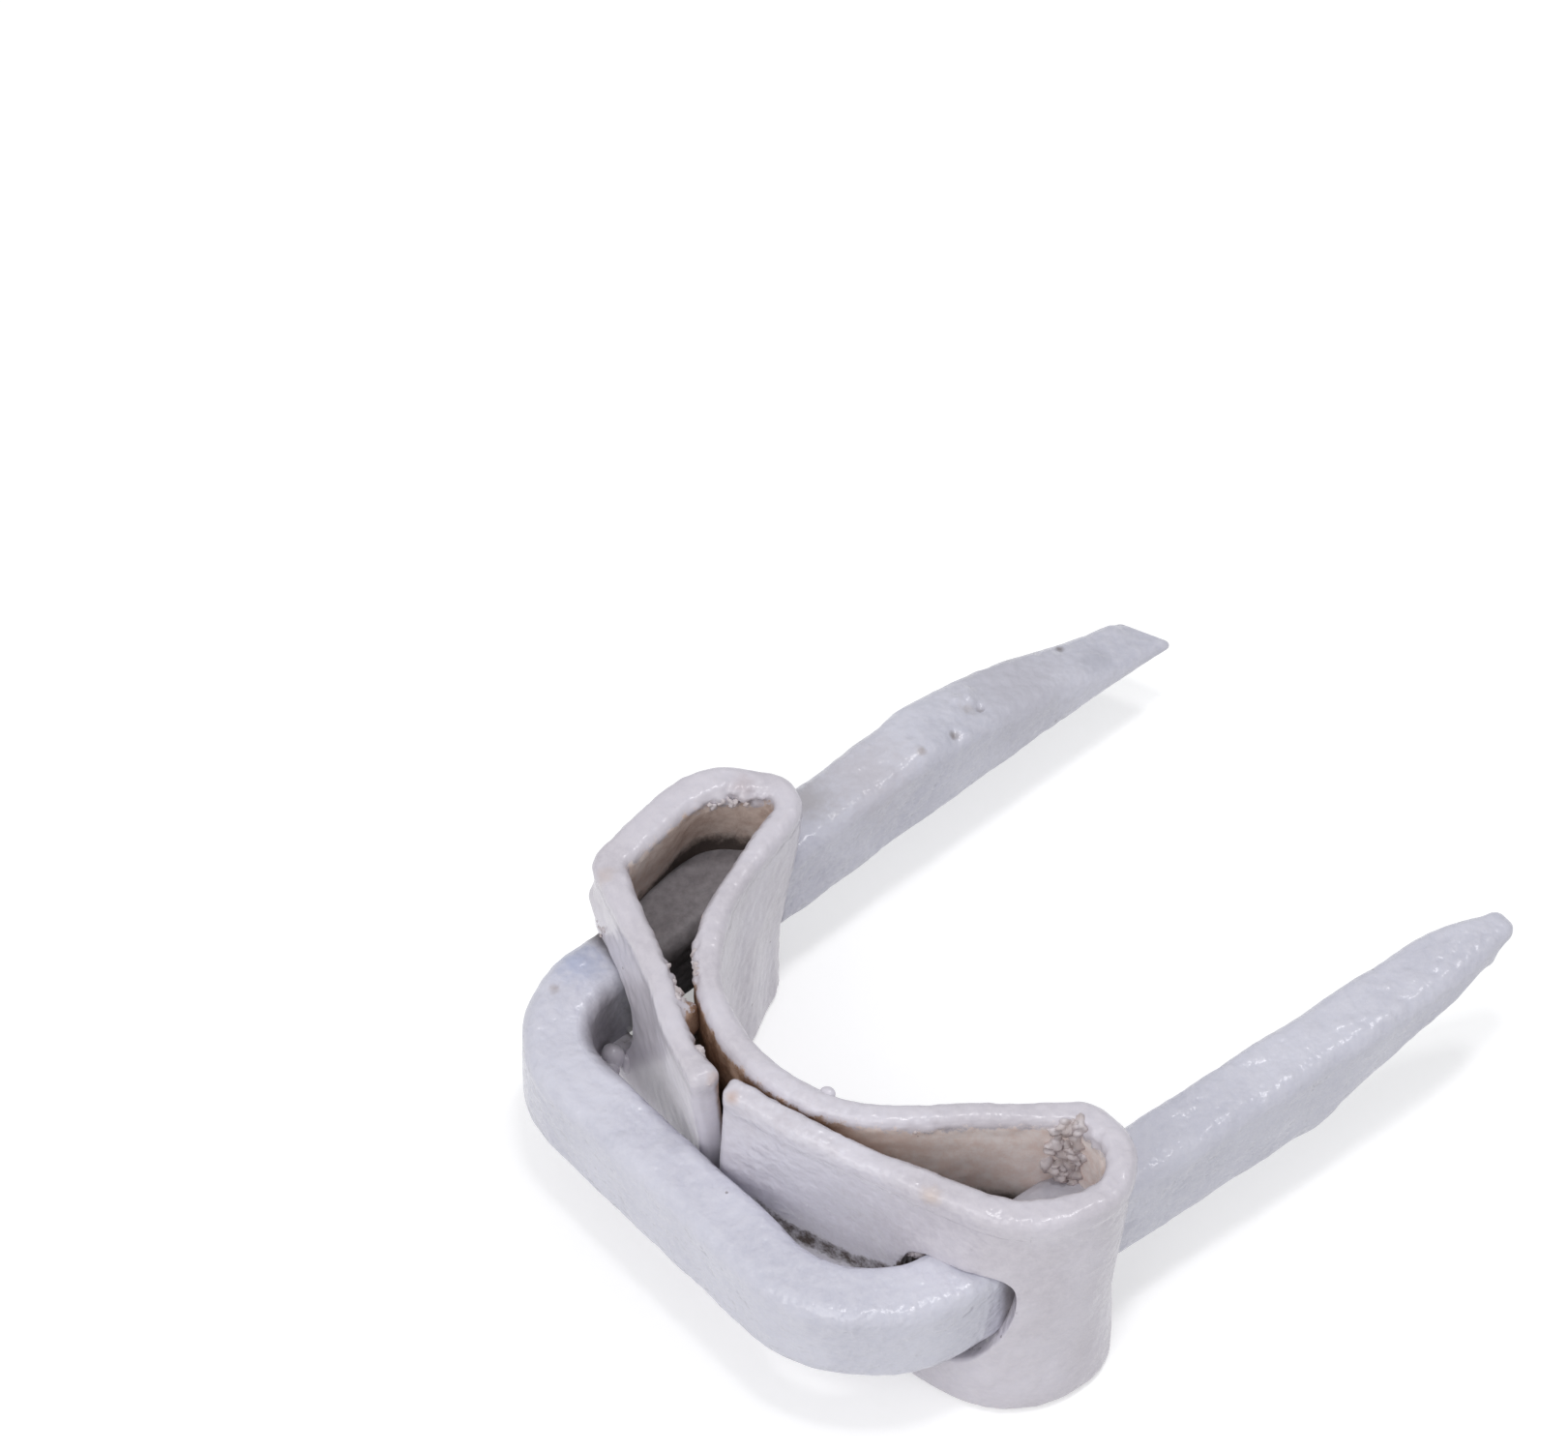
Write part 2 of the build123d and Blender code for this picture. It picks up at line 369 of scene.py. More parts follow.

# %% [markdown]
# ## What the wire's finish needs to know
# The spray missed the wire inside the folds, so there it is dull and dusty, and its colour is darkened
# there by painted shade as well: all round in fold A, most on its outer side in fold B, and on its
# inner side where it bends into fold A. A mesh can carry values on its points, so the wire takes one
# for dust and painted shade and one for the strength of its ripple.

# %% Values carried by the wire
outer_side = np.clip(normal[:, 0], 0, 1)
inner_side = np.clip(-normal[:, 0], 0, 1)
# Dust and painted shade in one value: fold A, slot B's mouth on the outer side, the hollow by bend A
dust_and_shade = (
    0.95 * between(wire_run, 11.9, 15.9, 0.4)[:, None]
    + between(wire_run, 31.9, 34.7, 0.3)[:, None] * (0.3 + 0.6 * outer_side)
    + 0.75 * between(wire_run, 17.0, 20.0, 1.2)[:, None] * inner_side
)
dust_and_shade = np.r_[np.clip(dust_and_shade, 0, 1).ravel(), 0, 0]
wire_layers = {"dust_and_shade": dust_and_shade, "ripple": 1 - 0.6 * dust_and_shade}
wire_faces = np.vstack([ring_quads(rings, around), fans[:, [0, 1, 2, 2]]])
staple = mesh_object("wire", wire_points, wire_faces, wire_layers)

# %% [markdown]
# ## The strip's line
# The strip is one piece of fibre from butt joint to butt joint. Its line here is that of its outer
# face, from end B round ear B, across the saddle and round ear A to end A. The sizes are the frame's,
# but the two ends stand closer, because enamel has nearly filled the joint.

# %% Sizes of the strip
strip_width = 6.35
strip_thickness = 0.66
seat_radius = 4.05
seat_angles = (110.0, 233.0)
layer_gap = 0.33
butt_gap = 0.04
butt_offset = -0.1
wall_angles = (72.2, -68.8)
ear_out_a = 1.68
ear_out_b = 1.73
heel_x_a = -0.31
fold_x_a = 1.67
fold_x_b = 0.74
ear_slope_a = 12.0
strip_radii = [2.77, 1.6, 0.95, seat_radius, 0.9, 2.0, 1.0]

# %% Corners of the strip's line
inner_x = -(seat_radius + strip_thickness + layer_gap)
end_a = np.array([inner_x, butt_offset + butt_gap / 2]) + unit(wall_angles[0] + 90) * strip_thickness
end_b = np.array([inner_x, butt_offset - butt_gap / 2]) + unit(wall_angles[1] - 90) * strip_thickness
seat_end_a = unit(seat_angles[0]) * seat_radius
seat_end_b = unit(seat_angles[1]) * seat_radius
fold_a = meet(seat_end_a, seat_angles[0] - 90, np.array([fold_x_a, 0.0]), 90)
fold_b = meet(seat_end_b, seat_angles[1] + 90, np.array([fold_x_b, 0.0]), 90)
heel_a = crown_a + unit(splay_a) * (heel_x_a - crown_x) / unit(splay_a)[0] + np.array([0, ear_out_a])
heel_b = crown_b + unit(splay_b) * (fold_x_b - crown_x) / unit(splay_b)[0] - np.array([0, ear_out_b])
shoulder_a = meet(heel_a, ear_slope_a, end_a, wall_angles[0])
shoulder_b = meet(heel_b, 0, end_b, wall_angles[1])
saddle = meet(seat_end_a, seat_angles[0] - 90, seat_end_b, seat_angles[1] - 90)
strip_length, strip_place, strip_bends = bent_line(
    [end_b, shoulder_b, heel_b, fold_b, saddle, fold_a, heel_a, shoulder_a, end_a], strip_radii
)
at_shoulder_b, at_heel_b, at_fold_b, at_saddle, at_fold_a, at_heel_a, at_shoulder_a = strip_bends
print("strip length", round(strip_length, 2), "mm, bends at", strip_bends.round(2))

# %% [markdown]
# ## The strip's slots
# A leg enters through a long punched slot in a wall and leaves through a close one in the fold. A hole
# in a grid could be cut with a boolean, which leaves ragged triangles. Instead the strip is made as
# two bands, above and below a line through the slots: where a slot is open the bands draw apart along
# its rounded outline, and everywhere else their edges are the same points and join.

# %% Runs along the strip, with more of them where a slot closes
def where_leg_crosses(low, high, leg_y, leg_angle):
    """Run, between low and high, at which the strip's face meets the leg's middle line."""
    run = np.linspace(low, high, 2000)
    point, _ = strip_place(run)
    off = point[:, 1] - (leg_y + (point[:, 0] - crown_x) * math.tan(math.radians(leg_angle)))
    return run[np.argmin(np.abs(off))]


leg_in_b = where_leg_crosses(2, at_shoulder_b + 2, leg_b_y, splay_b)
leg_out_b = where_leg_crosses(at_heel_b, at_fold_b, leg_b_y, splay_b)
leg_out_a = where_leg_crosses(at_fold_a, at_heel_a, leg_a_y, splay_a)
leg_in_a = where_leg_crosses(at_shoulder_a - 1, strip_length - 2, leg_a_y, splay_a)
print("legs cross the strip at", np.round([leg_in_b, leg_out_b, leg_out_a, leg_in_a], 2))

# Each slot: start, end, bottom, top, the height at which its ends close, and how square its bottom
# and its top corners are, where 2 is an ellipse
slots = [
    (leg_in_b - 1.40, leg_in_b + 1.48, -1.80, 1.25, 0.2, 1.7, 3.0),
    (leg_out_b - 0.82, leg_out_b + 0.82, -1.18, 1.14, 0.0, 3.0, 3.0),
    (leg_out_a - 0.85, leg_out_a + 0.85, -1.20, 1.08, 0.0, 3.0, 3.0),
    (leg_in_a - 1.35, leg_in_a + 1.5, -1.1, 1.08, -0.1, 2.6, 2.6),
]
strip_step = 0.085
run_parts = []
edge = 0.0
for start, end, *_ in slots:
    run_parts.append(np.linspace(edge, start, max(int((start - edge) / strip_step), 4))[:-1])
    swing = np.linspace(0, np.pi, int((end - start) / strip_step * 1.5))
    run_parts.append((start + (end - start) * (1 - np.cos(swing)) / 2)[:-1])
    edge = end
run_parts.append(np.linspace(edge, strip_length, int((strip_length - edge) / strip_step)))
edge_round = 0.2
end_rows = edge_round * (1 - np.cos(np.linspace(0, np.pi / 2, 6)[1:]))
strip_run = np.unique(np.round(np.r_[np.concatenate(run_parts), end_rows, strip_length - end_rows], 6))
print("rows of points along the strip", len(strip_run))

# %% Outlines of the slots
slot_low = np.zeros(len(strip_run))
slot_high = np.zeros(len(strip_run))
openness = np.zeros(len(strip_run))
for start, end, bottom, top, closing, square_low, square_high in slots:
    share = (strip_run - start) / (end - start)
    inside = (share >= -1e-6) & (share <= 1 + 1e-6)
    off = np.abs(2 * share - 1)
    bow_low = np.clip(1 - off**square_low, 0, None) ** (1 / square_low)
    bow_high = np.clip(1 - off**square_high, 0, None) ** (1 / square_high)
    slot_low = np.where(inside, closing + (bottom - closing) * bow_low, slot_low)
    slot_high = np.where(inside, closing + (top - closing) * bow_high, slot_high)
    openness = np.where(inside, np.clip(bow_low * 3, 0, 1), openness)
openness[openness < 1e-4] = 0
print("slots reach from", slot_low.min().round(2), "to", slot_high.max().round(2), "mm high")

# %% [markdown]
# Between the slots the joined line drifts back to mid height, so the rows of the grid stay even.

# %% Height of the line where the bands join
closed = openness == 0
knots = [(0.0, 0.0)] + [(v, s[4]) for s in slots for v in s[:2]] + [(strip_length, 0.0)]
join_height = np.interp(strip_run, [k[0] for k in knots], [k[1] for k in knots])
slot_low = np.where(closed, join_height, slot_low)
slot_high = np.where(closed, join_height, slot_high)

# %% [markdown]
# ## How the strip departs from its plain line
# The real strip flares, sags and carries ridges of enamel. Each departure is a bell curve along the
# run times a blend over the height, so each can be read and changed by itself.

# %% Departures of the strip's line and of its outer face
def ear_lean(run, z):
    """How far both faces move along X: each ear's lower half was pushed back towards the crown, and
    the top of fold A the other way."""
    ear_b = between(run, at_shoulder_b - 2.0, at_fold_b + 0.5, 2.6)
    ear_a = between(run, at_fold_a - 0.8, at_heel_a + 0.5, 2.0)
    wall_a = between(run, at_heel_a, at_shoulder_a + 2.0, 2.0)
    lean = -0.58 * ear_b * rise(-z, -3.0, 1.2)
    lean = lean + ear_a * (0.22 * rise(z, 0.4, 3.0) - 0.45 * rise(-z, -1.6, 1.2))
    return lean - 0.25 * wall_a * rise(-z, -0.6, 1.6)


# Bumps of the outer face: height, run, spread of the run, z and spread of z. They are the lip over
# slot B, the curl under slot A, and two bumps at shoulder A with a notch between them
face_bumps = [
    (0.10, leg_in_b - 0.2, 1.3, 1.35, 0.4),
    (0.30, leg_in_a + 0.75, 0.7, -1.3, 0.35),
    (0.13, at_shoulder_a, 0.45, 1.8, 0.32),
    (0.08, at_shoulder_a, 0.5, 3.0, 0.3),
]


def face_shift(run, z):
    """How far the outer face moves outwards: the sum of its bumps, wall B's low side, the two ends out
    of line with each other, and a bead of enamel below the rim of wall B."""
    shift = sum(b[0] * hump(run, b[1], b[2]) * hump(z, b[3], b[4]) for b in face_bumps)
    shift = shift + 0.20 * hump(run, at_shoulder_b, 1.8) * rise(-z, 1.0, 3.0)
    end_a_out = 0.19 * rise(run, strip_length - 3.4, strip_length - 1.6)
    end_b_in = 0.20 * (1 - rise(run, 0.2, 2.4))
    shift = shift + (end_a_out - end_b_in) * rise(z, 0.5, 3.0)
    bead = between(run, 0.6, at_heel_b, 1.5) * between(z, 2.66, 3.2, 0.12)
    return shift + 0.065 * bead + 0.05 * between(run, at_fold_b + 3, at_fold_a - 3, 2)


# %% Departures of the rim
# Thickness at the rim along the run, thinner on the saddle and built up in the outer corners
rim_knots = [0, 4, at_shoulder_b, at_heel_b - 1, at_heel_b + 0.6, at_fold_b, at_fold_b + 1.6]
rim_knots += [at_saddle - 2, at_saddle + 2, at_fold_a - 2.4, at_fold_a, at_heel_a - 1, at_heel_a]
rim_knots += [at_shoulder_a - 1.2, at_shoulder_a, at_shoulder_a + 1.2, strip_length - 1, strip_length]
rim_depths = [0.62, 0.64, 0.86, 0.72, 0.72, 0.74, 0.60]
rim_depths += [0.66, 0.64, 0.56, 0.66, 0.80, 0.88]
rim_depths += [0.86, 0.86, 0.64, 0.54, 0.66]
deep_thickness = 0.62


def rim_lift(run):
    """How far the top edge rises: a lump at end A and two slow waves along the rest."""
    slow_waves = 0.02 * np.sin(run * 1.3) + 0.015 * np.sin(run * 2.9 + 1)
    return 0.12 * hump(run, strip_length - 0.28, 0.35) + slow_waves


def thickness_at(run, z):
    """Thickness of the strip: even fibre below, the rim's own thickness above, a plug of enamel that
    bridges from wall A to the saddle, and a lump at end A."""
    rim = np.interp(run, rim_knots, rim_depths)
    thick = deep_thickness + (rim - deep_thickness) * rise(z, 1.2, 2.9)
    thick = thick + 0.40 * hump(run, strip_length - 2.3, 0.26) * between(z, 2.1, 2.75, 0.25)
    return thick + 0.05 * hump(run, strip_length - 0.4, 0.3) * rise(z, 2.5, 3.0)


def raggedness(run):
    """Where the enamel's edge is broken: inside ear A, by the bridge on both sides, and in ear B."""
    places = ((at_heel_a - 0.9, 1.3, 1.0), (strip_length - 3.0, 0.6, 1.2), (at_saddle + 2.2, 0.5, 1.2))
    places += ((strip_length - 1.1, 0.4, 0.9), (at_fold_b + 3.6, 0.5, 0.4), (at_heel_b + 1.2, 0.7, 0.7))
    return 0.12 + sum(share * hump(run, middle, spread) for middle, spread, share in places)


# %% [markdown]
# ## The strip's skin
# Each band is a closed section carried along the run: up the outer face, over the rim, down the inner
# face and, where a slot is open, back across its wall. The thickness is measured from the outer face
# along its normal, so the folds keep their true inner and outer curves.

# %% One band of the strip
face_rows = 26
round_rows = 5
rim_rows = 4
wall_rows = 5
rim_height = strip_width / 2
rim_rounding = 0.24
slot_rounding = 0.10


def band(sign):
    """Section of a band as arrays over run and place: depth below the outer face, height, and the
    outward and upward shares of the normal. Each quarter turn is a sine and a cosine of its swing.
    sign is 1 for the upper band and -1 for the lower one, which is its mirror image."""
    run = strip_run[:, None]
    dip = drawn_in(np.minimum(run, strip_length - run), edge_round)
    top = rim_height + (rim_lift(run) if sign > 0 else 0.0) - dip
    edge = (slot_high if sign > 0 else -slot_low)[:, None]
    thick = thickness_at(run, sign * top)
    base = thickness_at(run, sign * edge)
    large = np.minimum(rim_rounding, thick / 2 - 0.02) - 0.8 * dip
    small = slot_rounding * openness[:, None]
    down = -openness[:, None]

    up, flat, wall = (np.linspace(0, 1, n + 1)[None] for n in (face_rows, rim_rows, wall_rows))
    swing = np.linspace(0, np.pi / 2, round_rows + 1)[None, 1:-1]
    sine, cosine = np.sin(swing), np.cos(swing)
    outer_z = edge + small + (top - large - edge - small) * up
    inner_z = outer_z[:, ::-1]
    # Up the outer face, over the rim, down the inner face and back across the slot's wall
    parts = [
        (up, 0.0, outer_z, 1.0, 0.0),
        (swing, large * (1 - cosine), top - large + large * sine, cosine, sine),
        (flat, large + (thick - 2 * large) * flat, top, 0.0, 1.0),
        (swing, thick - large + large * sine, top - large + large * cosine, -sine, cosine),
        (up, thickness_at(run, sign * inner_z), inner_z, -1.0, 0.0),
        (swing, base - small * (1 - cosine), edge + small - small * sine, -cosine, down * sine),
        (wall, base - small - (base - 2 * small) * wall, edge, 0.0, down),
        (swing, small * (1 - sine), edge + small * (1 - cosine), sine, down * cosine),
    ]
    depth, z, side, rise_z = (
        np.hstack([np.broadcast_to(part[field], (len(run), part[0].size)) for part in parts])
        for field in (1, 2, 3, 4)
    )
    # At an end of the strip both faces close in, so that the cut has a soft edge
    share = depth / strip_thickness - 0.5
    depth = depth - 2 * share * np.minimum(dip, edge_round * 0.9)
    return depth, sign * z, side, sign * rise_z


# %% Both bands as points in space
def strip_point(run, depth, z):
    """Point at a run, a depth below the outer face and a height, all of one shape: the line's place,
    plus the ear's lean along X, plus the face's shift less the depth along the outward normal."""
    spot, angle = strip_place(run)
    outward = np.stack([np.sin(angle), -np.cos(angle)], -1)
    flat = spot + outward * (face_shift(run, z) - depth)[..., None]
    flat[..., 0] += ear_lean(run, z)
    return np.concatenate([flat, z[..., None]], -1), outward


# %% Coat on the bands
# Long and short waves push every face out along its normal, and a third field tears the inner rim
coat_swell = waves(31, 1.9)
coat_ripple = waves(32, 0.42)
rim_ragged = waves(33, 0.3)
bands = []
for sign in (1, -1):
    depth, z, side, rise_z = band(sign)
    run = np.broadcast_to(strip_run[:, None], z.shape)
    points, outward = strip_point(run, depth, z)
    facing = np.concatenate([outward * side[..., None], rise_z[..., None]], -1)
    lumps = 0.016 * coat_swell(points) + 0.008 * coat_ripple(points)
    ragged = hump(z, rim_height - 0.24, 0.24) * rise(depth, 0.3, 0.52) * rise(z, 0, 1) * raggedness(run)
    lumps += 0.06 * rim_ragged(points) * ragged
    points += facing * lumps[..., None]
    inside = rise(depth / thickness_at(run, z), 0.72, 0.97)
    slot_wall = np.clip(-sign * rise_z, 0, 1) * rise(depth, 0.08, 0.25)
    bands.append((points, inside, z, run, slot_wall))
    print("band", sign, "coat from", lumps.min().round(3), "to", lumps.max().round(3), "mm")

# %% The strip's faces
def band_faces(offset, sign, columns, around):
    """Faces of one band. The faces of a slot's wall are left out where the slot is closed."""
    quads = ring_quads(columns, around) + offset
    column = np.repeat(np.arange(columns - 1), around)
    place = np.tile(np.arange(around), columns - 1)
    shown_wall = (openness[column] > 0) | (openness[column + 1] > 0)
    wall_start = 2 * (face_rows + 1) + 2 * (round_rows - 1) + rim_rows
    quads = quads[(place < wall_start) | shown_wall]
    return quads if sign > 0 else quads[:, ::-1]


def end_cap(start, faces_back):
    """The cut end of a band: a ladder between its outer rows and its inner rows, and a fan of
    triangles over the rim's places."""
    half = face_rows + round_rows
    low = start + np.arange(half)
    high = start + 2 * half + rim_rows - np.arange(half)
    ladder = np.c_[low[:-1], low[1:], high[1:], high[:-1]]
    rim = start + np.arange(half, half + rim_rows + 2)
    fan = np.c_[np.full(len(rim) - 1, low[-1]), rim[:-1], rim[1:], rim[1:]]
    cap = np.vstack([ladder, fan])
    return cap if faces_back else cap[:, ::-1]


columns, around = bands[0][0].shape[:2]
quads = []
for number, sign in enumerate((1, -1)):
    offset = number * columns * around
    quads.append(band_faces(offset, sign, columns, around))
    quads.append(end_cap(offset, sign > 0))
    quads.append(end_cap(offset + (columns - 1) * around, sign < 0))
print("faces before any are joined", sum(map(len, quads)))

# %% [markdown]
# ## What the strip's finish needs to know
# The enamel was sprayed from outside, so it is thick outside and only dusts the pockets. The mesh
# carries six values for the finish: how far a point is inside, how far below the enamel's ragged
# edge, how much spray reached it, how strong its ripple is, how much painted shade it takes deep in a
# fold beside the wire, and how much dirt and painted shade is on it. Ear B was open to the spray and
# ear
# A was not. Dirt and painted shade lie on the slots' walls and in the corner between wall B and the
# crown, below a line that was read off the photo.

# %% Inside, film and spray
all_points = np.vstack([b[0].reshape(-1, 3) for b in bands])
all_inside, all_z, all_run, slot_walls = (
    np.concatenate([b[field].ravel() for b in bands]) for field in (1, 2, 3, 4)
)
below_film = rim_height - all_z - 0.25 * (raggedness(all_run) - 0.12)
spray = between(all_run, at_fold_b - 1.0, at_fold_b + 4.5, 1.5)
spray += 0.45 * between(all_run, at_shoulder_b - 2, at_fold_b - 2, 1.5)
spray += 0.5 * between(all_run, at_fold_a, at_shoulder_a, 1.5)
spray += 0.4 * hump(all_run, at_shoulder_a - 0.6, 0.8)
spray = np.clip(spray, 0, 1) * (1 - 0.7 * rise(rim_height - all_z, 2.1, 3.0))
print("share of the strip's points inside", (all_inside > 0.5).mean().round(2))

# %% Ripple, painted pocket shade, and dirt with painted shade
open_faces = np.maximum(rise(all_z, 2.6, 2.95), between(all_run, 0.8, at_fold_b - 0.5, 0.8))
calm_faces = 0.25 - 0.17 * rise(all_run, at_fold_a, at_heel_a)
strip_ripple = (calm_faces + 0.5 * open_faces) * (1 - 0.5 * all_inside)
# Painted shade: the fibre darkens deep in the folds beside the wire, from a depth that changes along
# the run
pocket_shade_knots = [at_saddle, at_fold_a, at_heel_a, at_heel_a + 0.8, at_heel_a + 1.6, strip_length]
pocket_shade_start = np.interp(all_run, pocket_shade_knots, [2.2, 1.3, 1.3, 1.4, 1.6, 1.9])
painted_pocket_shade = rise(rim_height - all_z - pocket_shade_start, 0.0, 0.7)
# Dirt and painted shade: dark in the corner between wall B and the crown below a line, and on the
# slots' walls
dirt_and_shade_knots = [0.7, 1.4, 2.0, 2.9, 3.6, 4.6, 4.8]
dirt_and_shade_line = np.interp(all_run, dirt_and_shade_knots, [0.25, -0.17, -0.38, -0.46, -0.44, 0.0, 0.6])
dirt_and_shade = between(all_run, 1.2, 4.9, 0.6) * rise(dirt_and_shade_line - all_z, -0.36, 0.02) * (1 - all_inside)
dirt_and_shade *= 1 - rise(-all_z, 0.7, 1.2)
dirt_and_shade = np.maximum(dirt_and_shade, 0.6 * slot_walls)
strip_layers = {
    "inside": all_inside,
    "below_film": below_film,
    "spray": spray,
    "ripple": strip_ripple,
    "painted_pocket_shade": painted_pocket_shade,
    "dirt_and_shade": dirt_and_shade,
}
strap = mesh_object("fibre_strip", all_points, np.vstack(quads), strip_layers)

# %% [markdown]
# ## Crumbs of enamel
# Where the blade tore the fibre, the enamel caught loose hairs and dried as crumbs. Each crumb is a
# lumpy ball of a few dozen faces, pressed half into the strip. They could be scattered with a particle
# system, but here they sit in chosen clusters, and a seeded generator gives each its place and size.

# %% Helper for lumpy balls
def lumpy_balls(name, centres, radii, lumpiness, rows=9, columns=14):
    """Balls of rows by columns points as one mesh: the latitude and longitude of a sphere, with each
    radius times one plus the lumpiness times a wave field."""
    latitude = np.linspace(-np.pi / 2, np.pi / 2, rows)[:, None]
    longitude = np.arange(columns) * 2 * np.pi / columns
    ball = np.stack(np.broadcast_arrays(
        np.cos(latitude) * np.cos(longitude), np.cos(latitude) * np.sin(longitude), np.sin(latitude)
    ), -1).reshape(-1, 3)
    centres = np.array(centres)[:, None]
    shape = waves(41, 1.7)(ball[None] + 9.0 * centres)[..., None]
    points = centres + ball[None] * np.array(radii)[:, None] * (1 + lumpiness * shape)
    one = np.roll(ring_quads(rows, columns)[:, ::-1], 1, axis=1)
    quads = one + (np.arange(len(centres)) * rows * columns)[:, None, None]
    return mesh_object(name, points.reshape(-1, 3), quads.reshape(-1, 4))


# %% Crumbs on the strip
# Each cluster: run, depth below the outer face, height, spread of run, spread of height, count, size
rim_top = rim_height - 0.02
clusters = [
    (strip_length - 3.0, 0.52, rim_top - 0.20, 0.35, 0.05, 12, 0.100),
    (strip_length - 2.6, 0.58, rim_top - 0.26, 0.15, 0.08, 8, 0.110),
    (at_saddle + 2.1, 0.56, rim_top - 0.18, 0.22, 0.05, 9, 0.100),
    (strip_length - 0.95, 0.50, rim_top - 0.18, 0.12, 0.05, 4, 0.100),
    (at_heel_a - 0.7, 0.84, rim_top - 0.28, 0.65, 0.05, 14, 0.080),
    (at_fold_b + 3.9, 0.56, rim_top - 0.28, 0.15, 0.09, 9, 0.090),
    (at_fold_b + 0.35, 0.66, rim_top - 0.75, 0.36, 0.45, 130, 0.130),
    (at_fold_b + 0.2, 0.62, 1.50, 0.40, 0.14, 34, 0.135),
    (at_shoulder_a + 0.7, 0.03, 1.42, 0.25, 0.09, 6, 0.090),
    (leg_in_b - 1.22, 0.22, 0.85, 0.12, 0.10, 20, 0.110),
]
rng = np.random.default_rng(5)
spots, sizes = [], []
for run, depth, z, run_spread, z_spread, count, size in clusters:
    at_run = run + run_spread * rng.normal(size=count) * 0.8
    at_z = np.minimum(z + z_spread * rng.normal(size=count), rim_top - size)
    spots.append(strip_point(at_run, depth + 0.03 * rng.normal(size=count), at_z)[0])
    sizes.append(size * rng.uniform(0.35, 1.4, (count, 1)) * rng.uniform(0.6, 1.2, (count, 3)))
crumbs = lumpy_balls("enamel_crumbs", np.vstack(spots), np.vstack(sizes), 0.3)

# %% [markdown]
# ## Drips of enamel
# Three smooth drips hang at the lower edge of slot A with a crevice between them, and a small fin
# stands on the saddle's rim. They are balls too, but hardly lumpy, because they ran before they set.

# %% Drips on the strip
fin = strip_point(np.array([at_saddle - 2.42]), np.array([0.02]), np.array([rim_height - 0.15]))[0][0]
drips = lumpy_balls(
    "enamel_drips",
    [(-4.80, 4.27, -0.80), (-4.98, 4.12, -1.02), (-4.60, 4.08, -1.12), fin],
    [(0.25, 0.29, 0.27), (0.17, 0.22, 0.27), (0.14, 0.20, 0.30), (0.16, 0.18, 0.12)],
    0.05,
    24,
    32,
)

# %% [markdown]
# ## Placing the pieces
# The wire and the strip stand exactly where the frame's solids stand, so each replaces its solid.

# %% Ride and replace
for piece, node, slot_name in (
    (staple, "staple_wire", "painted_wire"),
    (strap, "insulating_strap", "painted_fibre"),
    (crumbs, None, "painted_fibre"),
    (drips, None, "painted_fibre"),
):
    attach(piece, "root")
    if node:
        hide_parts(node)

# %% [markdown]
# ## Ripple, grit, and stains and painted light as node groups
# The same enamel covers steel and fibre. Its ripple, its specks of grit and its soft discs, which are
# stains and also painted shade and light, could be built anew in each material, but a node group is
# built once and placed with other values. Each group gives out only values and masks, and the shader
# stays in the material.

# %% Node helpers
def feed(tree, node, values):
    """Feed a node's inputs by title or number: link an output, or set a number, vector or colour."""
    for title, value in values.items():
        socket = node.inputs[title]
        if isinstance(value, bpy.types.NodeSocket):
            tree.links.new(value, socket)
        else:
            socket.default_value = (*value, 1) if socket.type == "RGBA" else value


def new_node(tree, kind, values, **settings):
    """A node of one kind with its settings made and its inputs fed."""
    node = tree.nodes.new(kind)
    for name, setting in settings.items():
        setattr(node, name, setting)
    feed(tree, node, values)
    return node


def object_place(tree):
    """The place of the shaded point in the object's own coordinates."""
    return new_node(tree, "ShaderNodeTexCoord", {}).outputs["Object"]


def new_group(name, inputs, outputs):
    """An empty shader node group with float inputs and float outputs, and its two end nodes."""
    group = bpy.data.node_groups.new(name, "ShaderNodeTree")
    for title, default in inputs.items():
        socket = group.interface.new_socket(title, in_out="INPUT", socket_type="NodeSocketFloat")
        socket.default_value = default
    for title in outputs:
        group.interface.new_socket(title, in_out="OUTPUT", socket_type="NodeSocketFloat")
    return group, group.nodes.new("NodeGroupInput"), group.nodes.new("NodeGroupOutput")


def math_node(tree, operation, *values):
    """A Math node with sockets or numbers on its inputs. Gives its output."""
    values = dict(enumerate(values))
    return new_node(tree, "ShaderNodeMath", values, operation=operation).outputs[0]


def noise_node(tree, vector, scale, detail=2.0, roughness=0.5):
    """A Noise node on a vector. Gives its value."""
    values = {"Vector": vector, "Scale": scale, "Detail": detail, "Roughness": roughness}
    return new_node(tree, "ShaderNodeTexNoise", values).outputs["Fac"]


def ramp(tree, value, low, high):
    """A Map Range node from low..high to 0..1, smooth and clamped."""
    values = {"Value": value, "From Min": low, "From Max": high}
    node = new_node(tree, "ShaderNodeMapRange", values, interpolation_type="SMOOTHSTEP")
    return node.outputs["Result"]


